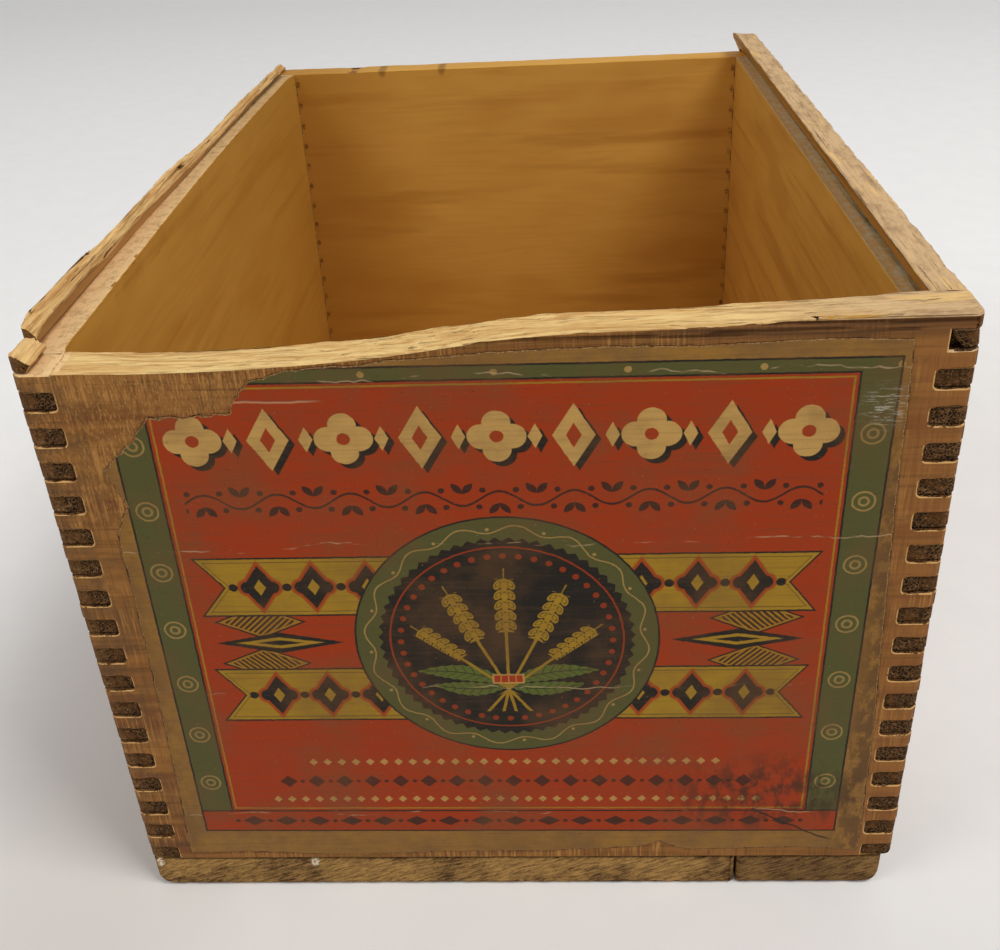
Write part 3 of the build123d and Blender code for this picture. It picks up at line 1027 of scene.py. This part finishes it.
    def leaves(self, a, b):
        """Long leaves on both sides of the sheaf."""
        side = a.abs()
        for tilt, length, width, bend, foot in ((64, 15.5, 1.9, 0.018, -9.6), (104, 13.0, 1.7, -0.022, -10.2)):
            across, rise = math.sin(math.radians(tilt)), math.cos(math.radians(tilt))
            along = side * across + (b - foot) * rise
            off = side * -rise + (b - foot) * across + along * along * bend
            share = along / length * 2 - 1
            notch = along.wave(1.5).abs() * 0.35
            edge = off.abs() - (1 - share * share) * width + notch
            blade = edge.max(-along)
            self.lay(blade, "leaf")
            ribs = ((along - off.abs() * 0.9).wave(1.5).abs() - 0.1).min(off.abs() - 0.12)
            self.lay(ribs.max(blade + 0.25), "black", 0.75)

    def sheaf(self, a, b):
        """Five ears of grain on their stalks, tied together."""
        spread, foot = math.radians(24), -11.0
        height = b - foot
        angle = a.math("ARCTAN2", height)
        turn = angle.wave(spread)
        away = hypot(a, height)
        order = ((angle - turn) * (1 / spread)).abs().min(2.0)
        along = away * (1 + order * order * 0.055)
        off = turn * away
        fan = a.abs() - height.abs() * 1.25 - 0.2
        stalk = (off.abs() - 0.26).max(along - 13.0).max(fan).max(-height - 5.2)
        self.lay(stalk, "yellow", 0.9)
        step = (along + off.abs() * 0.55).wave(2.15)
        grain = hypot((off.abs() - 1.0) / 0.8, step / 0.95) - 1
        core = hypot(off / 0.55, (along + 1.07).wave(2.15) / 1.0) - 1
        ear = (along - 18.6).abs() - 5.7
        inside = ear.max(off.abs() - 2.3).max(fan).max(-height)
        self.lay((grain.min(core) * 0.8).max(inside), "yellow")
        self.lay(((grain + 0.45).abs() * 0.8 - 0.11).max(step.abs() - 0.5).max(inside), "black", 0.6)
        awns = (off.abs() - 0.09 - (along - 24.0) * 0.02).max((along - 25.0).abs() - 1.4).max(fan).max(-height)
        self.lay(awns, "yellow", 0.8)
        tie = bar(a, height - 2.4, 2.6, 0.95)
        self.lay(tie, "red")
        self.lay(line(tie, 0.16).min((a.wave(1.3).abs() - 0.08).max(tie)), "cream", 0.8)


def printed_paper(inks):
    """The label: its print, then the stains, scratches and creases of a century."""
    paint = Paint("printed_paper")
    vector, x, y, z = paint.place()
    mottle = paint.noise(vector, 0.16, 5.0, 0.7)
    blots = paint.noise(paint.stretch(vector, (1, 1, 0.6), (5, 0, 9)), 0.33, 4.0, 0.7)
    paper = paint.mix(mottle.ramp(0.35, 0.65) * 0.6, rgba(inks.paper), (0.19, 0.098, 0.034, 1))
    stain = x.ramp(57, 63).max(x.ramp(-58, -62) * 0.5) * blots.ramp(0.4, 0.54) * z.ramp(114, 96)
    paper = paint.mix(stain * 0.75, paper, (0.10, 0.045, 0.015, 1))
    wobble = (paint.noise(vector, 1.1, 2.0, 0.5) - 0.5) * 0.22
    turn, centre_x, centre_z = math.radians(0.4), 0.9, 65.7
    u = (x - centre_x) * math.cos(turn) - (z - centre_z) * math.sin(turn) + wobble
    v = (z - centre_z) * math.cos(turn) + (x - centre_x) * math.sin(turn) + wobble
    label = Print(paint, inks, paper, u, v)
    label.frame()
    label.head_row()
    label.vine(26.2, 50, "black")
    label.ribbons()
    label.spindles()
    label.fine_rows()
    label.medallion()
    base = label.base
    grain = paint.noise(paint.stretch(vector, (0.05, 1, 1.5)), 1.0, 3.0, 0.7)
    cloud = paint.noise(vector, 0.07, 4.0, 0.6)
    base = paint.mix(grain.ramp(0.45, 0.75) * 0.3, base, (0.10, 0.05, 0.02, 1))
    base = paint.mix(cloud.ramp(0.42, 0.68) * 0.4, base, (0.15, 0.07, 0.025, 1))
    smudge = hypot((x - 47) * 0.5, z - 25).ramp(13, 3) * blots.ramp(0.42, 0.6)
    dirt = paint.noise(paint.stretch(vector, (0.6, 1, 1.0), (7, 0, 2)), 1.0, 5.0, 0.8)
    base = paint.mix((smudge * 0.8).max(dirt.ramp(0.6, 0.7) * 0.55), base, (0.045, 0.022, 0.010, 1))
    specks = paint.noise(vector, 1.6, 4.0, 0.8)
    scrape = paint.noise(paint.stretch(vector, (0.35, 1, 2.6), (0, 0, 3)), 1.0, 4.0, 0.8)
    lost = specks.ramp(0.66, 0.71).max(scrape.ramp(0.68, 0.73))
    base = paint.mix(lost * 0.55, base, (0.48, 0.31, 0.15, 1))
    scuffed = hypot((x - 59) * 0.8, (z - 107) * 0.8).ramp(4, 1) * scrape.ramp(0.5, 0.6)
    base = paint.mix(scuffed * 0.5, base, (0.56, 0.54, 0.42, 1))
    wander = (paint.noise(paint.stretch(vector, (0.05, 1, 0.02), (0, 0, 7)), 1.0, 4.0, 0.6) - 0.5) * 7
    patchy = paint.noise(paint.stretch(vector, (0.09, 1, 0.4)), 1.0, 3.0, 0.7)
    crease = ((z + wander - 21).wave(31).abs() - 0.1).ramp(0.12, -0.05) * patchy.ramp(0.5, 0.6)
    fold = (z - 110.3 + wander * 0.3).abs().ramp(0.3, 0.05) * x.ramp(-24, -28)
    split = ((z - 17 + (x - 52) * 0.5 + wander * 0.6).abs() - 0.1).ramp(0.2, 0) * (x - 52).abs().ramp(8, 6)
    base = paint.mix((crease * 0.5).max(fold * 0.5), base, (0.56, 0.37, 0.20, 1))
    base = paint.mix(split * 0.85, base, (0.02, 0.012, 0.008, 1))
    height = grain * 0.45 + mottle * 0.5 - lost * 0.25 - (crease + fold + split) * 0.6 + cloud
    return paint.finish(base, 0.45, height, 0.16 * MM)


def torn_paper(inks):
    """The bare core of the paper along its edges."""
    paint = Paint("torn_paper")
    vector, x, y, z = paint.place()
    fuzz = paint.noise(vector, 2.4, 4.0, 0.75)
    wood = paint.mix(fuzz.ramp(0.4, 0.6), (0.40, 0.24, 0.10, 1), (0.20, 0.095, 0.032, 1))
    return paint.finish(wood, 0.85, fuzz, 0.2 * MM)


class BOX_OT_label(bpy.types.Operator):
    """Makes the paper label with its torn corner."""

    bl_idname = "box.label"
    bl_label = "Label"

    def execute(self, context):
        inks = context.scene.old_box.label
        form = whole_form("front_label")
        low, high = LABEL
        front = [f for f in form.faces if f.normal.y < -0.9]
        cut_long(form, [e for e in form.edges if abs(e.verts[0].co.y - e.verts[1].co.y) < 1e-6], 0.7 * MM)
        for vert in form.verts:
            flat = Vector((vert.co.x / MM, 0, vert.co.z / MM))
            is_torn = vert.co.x < low.x + 50 * MM and vert.co.z > low.z + 75 * MM
            ragged = (0.5 if is_torn else 0.2) * MM
            vert.co.x += ragged * noise.fractal(flat * 0.55, 0.7, 2.1, 4)
            vert.co.z += ragged * noise.fractal(flat * 0.55 + Vector((31, 0, 0)), 0.7, 2.1, 4)
            vert.co.x = min(max(vert.co.x, low.x), high.x)
            vert.co.z = min(max(vert.co.z, low.z), high.z)
        front = [f for f in form.faces if f.normal.y < -0.9]
        rim = bmesh.ops.inset_region(form, faces=front, thickness=0.16 * MM, use_even_offset=True)["faces"]
        for face in rim:
            face.material_index = 1

        def printed(face):
            return face.normal.y < -0.9 and face.material_index == 0

        slice_faces(form, printed, "X", low.x, high.x, 1.6 * MM)
        slice_faces(form, printed, "Z", low.z, high.z, 1.6 * MM)
        for vert in form.verts:
            if vert.co.y < (low.y + high.y) / 2:
                wrinkle = noise.fractal(Vector((vert.co.x, 0, vert.co.z)) / MM * 0.09, 0.6, 2.1, 3)
                vert.co.y += (0.05 + 0.05 * min(max(wrinkle, -1), 1)) * MM
        for face in form.faces:
            if face.normal.y > -0.5:
                face.material_index = 1
        materials = [printed_paper(inks), torn_paper(inks)]
        make_piece("paper_label", form, materials, "label_paper", "front_label")
        return {"FINISHED"}


def plain_floor(settings):
    """Floor and backdrop: pale, and a little brighter to the camera than to the box; to the camera it carries painted
    light falloff and a painted shadow left of the box.
    """
    paint = Paint("plain_floor")
    vector, x, y, z = paint.place()
    speckle = paint.noise(vector, 0.08, 3.0, 0.6)
    # To the camera: painted falloff of light, darker towards the front and the far back, and warmer to the right.
    seen = paint.mix(y.ramp(-40, -130), (0.97, 0.955, 0.935, 1), (0.80, 0.78, 0.755, 1))
    seen = paint.mix(y.ramp(400, 1500) * 0.5, seen, (0.70, 0.70, 0.69, 1))
    seen = paint.mix(x.ramp(90, 220) * y.ramp(200, 0) * 0.6, seen, (0.86, 0.79, 0.71, 1))
    # Painted shadow on the floor to the left of the box.
    seen = paint.mix(x.ramp(-45, -80) * x.ramp(-150, -90) * y.ramp(60, -40) * 0.3, seen, (0.45, 0.36, 0.28, 1))
    to_camera = paint.node("ShaderNodeLightPath")["Is Camera Ray"]
    base = paint.mix(to_camera, rgba(settings.floor), seen)
    base = paint.mix(speckle.ramp(0.3, 0.7) * 0.06, base, grey(0.6))
    return paint.finish(base, 0.8, speckle, 0.01 * MM)


def sweep(settings):
    """A floor that curves up into a backdrop behind the box."""
    form = bmesh.new()
    half, front, back, rise, bend = 2.2, -2.0, 1.6, 2.2, 0.7
    start = form.verts.new((-half, front, 0))
    edge = [start]
    for turn in range(17):
        angle = math.radians(90) * turn / 16
        edge.append(form.verts.new((-half, back - bend + bend * math.sin(angle), bend - bend * math.cos(angle))))
    edge.append(form.verts.new((-half, back, rise)))
    edges = [form.edges.new(pair) for pair in zip(edge, edge[1:])]
    made = bmesh.ops.extrude_edge_only(form, edges=edges)
    moved = [item for item in made["geom"] if isinstance(item, bmesh.types.BMVert)]
    bmesh.ops.translate(form, verts=moved, vec=(2 * half, 0, 0))
    bmesh.ops.recalc_face_normals(form, faces=form.faces)
    mesh = bpy.data.meshes.new("floor_sweep")
    form.to_mesh(mesh)
    form.free()
    mesh.shade_smooth()
    mesh.materials.append(plain_floor(settings))
    floor = bpy.data.objects.new("floor_sweep", mesh)
    bpy.context.scene.collection.objects.link(floor)


def lamp(name, place, target, size, power, tint):
    """A square soft lamp that looks at a point."""
    data = bpy.data.lights.new(name, "AREA")
    data.shape, data.size, data.energy, data.color = "SQUARE", size, power, tint
    light = bpy.data.objects.new(name, data)
    light.location = place
    light.rotation_euler = (Vector(target) - Vector(place)).to_track_quat("-Z", "Y").to_euler()
    bpy.context.scene.collection.objects.link(light)


def sky(strength):
    """Even light from all round."""
    world = bpy.data.worlds.new("even_sky")
    bpy.context.scene.world = world
    world.use_nodes = True
    back = world.node_tree.nodes["Background"]
    back.inputs["Color"].default_value = (0.95, 0.97, 1.0, 1)
    back.inputs["Strength"].default_value = strength


def camera():
    """The camera of the photograph, a hand's breadth above and in front of the box."""
    focal_px, image_px, rise_px = 1097.1, 1000.0, 114.1
    pitch, yaw, roll = 0.487744, -0.058297, -0.054601
    ahead = Vector((math.sin(yaw) * math.cos(pitch), math.cos(yaw) * math.cos(pitch), -math.sin(pitch)))
    level = Vector((math.cos(yaw), -math.sin(yaw), 0))
    up = level.cross(ahead)
    right = level * math.cos(roll) + up * math.sin(roll)
    top = up * math.cos(roll) - level * math.sin(roll)
    data = bpy.data.cameras.new("photo_camera")
    data.sensor_width = 36.0
    data.lens = data.sensor_width * focal_px / image_px
    data.shift_y = -rise_px / image_px
    data.clip_start, data.clip_end = 0.01, 20
    view = bpy.data.objects.new("photo_camera", data)
    turn = Matrix((right, top, -ahead)).transposed().to_4x4()
    view.matrix_world = Matrix.Translation(Vector((10.564, -238.109, 191.215)) * MM) @ turn
    bpy.context.scene.collection.objects.link(view)
    bpy.context.scene.camera = view


class BOX_OT_stage(bpy.types.Operator):
    """Makes the floor, the light and the camera."""

    bl_idname = "box.stage"
    bl_label = "Stage"

    def execute(self, context):
        settings = context.scene.old_box.stage
        sweep(settings)
        lamp("key_right", (0.6, -0.4, 1.2), (0, 0, 0.06), 0.5, settings.key_power, (1.0, 0.985, 0.96))
        lamp("key_left", (-0.8, -0.5, 1.05), (0, 0, 0.06), 0.5, settings.key_power * 0.3, (1.0, 0.985, 0.96))
        sky(settings.sky)
        camera()
        context.scene.view_settings.view_transform = "Standard"
        return {"FINISHED"}


class BOX_PT_panel(bpy.types.Panel):
    """Lists the steps that make the box."""

    bl_label = "Old Shop Box"
    bl_idname = "BOX_PT_panel"
    bl_space_type = "VIEW_3D"
    bl_region_type = "UI"
    bl_category = "Old Box"

    def draw(self, context):
        for operator in STEPS:
            self.layout.operator(operator.bl_idname)
        wood = context.scene.old_box.wood
        for name in ("outside_light", "outside_dark", "inside_light", "inside_dark", "edge_round"):
            self.layout.prop(wood, name)


STEPS = (BOX_OT_stage, BOX_OT_materials, BOX_OT_end_boards, BOX_OT_side_boards, BOX_OT_bottom, BOX_OT_label)
CLASSES = (WoodSettings, LabelSettings, StageSettings, BoxSettings, *STEPS, BOX_PT_panel)


def register():
    """Adds the settings, the steps and the panel."""
    for item in CLASSES:
        bpy.utils.register_class(item)
    bpy.types.Scene.old_box = bpy.props.PointerProperty(type=BoxSettings)


def unregister():
    """Takes them away again."""
    del bpy.types.Scene.old_box
    for item in reversed(CLASSES):
        bpy.utils.unregister_class(item)


def main():
    """Makes the whole box."""
    register()
    bpy.ops.box.stage()
    bpy.ops.box.materials()
    bpy.ops.box.end_boards()
    bpy.ops.box.side_boards()
    bpy.ops.box.bottom()
    bpy.ops.box.label()


if __name__ == "__main__":
    main()
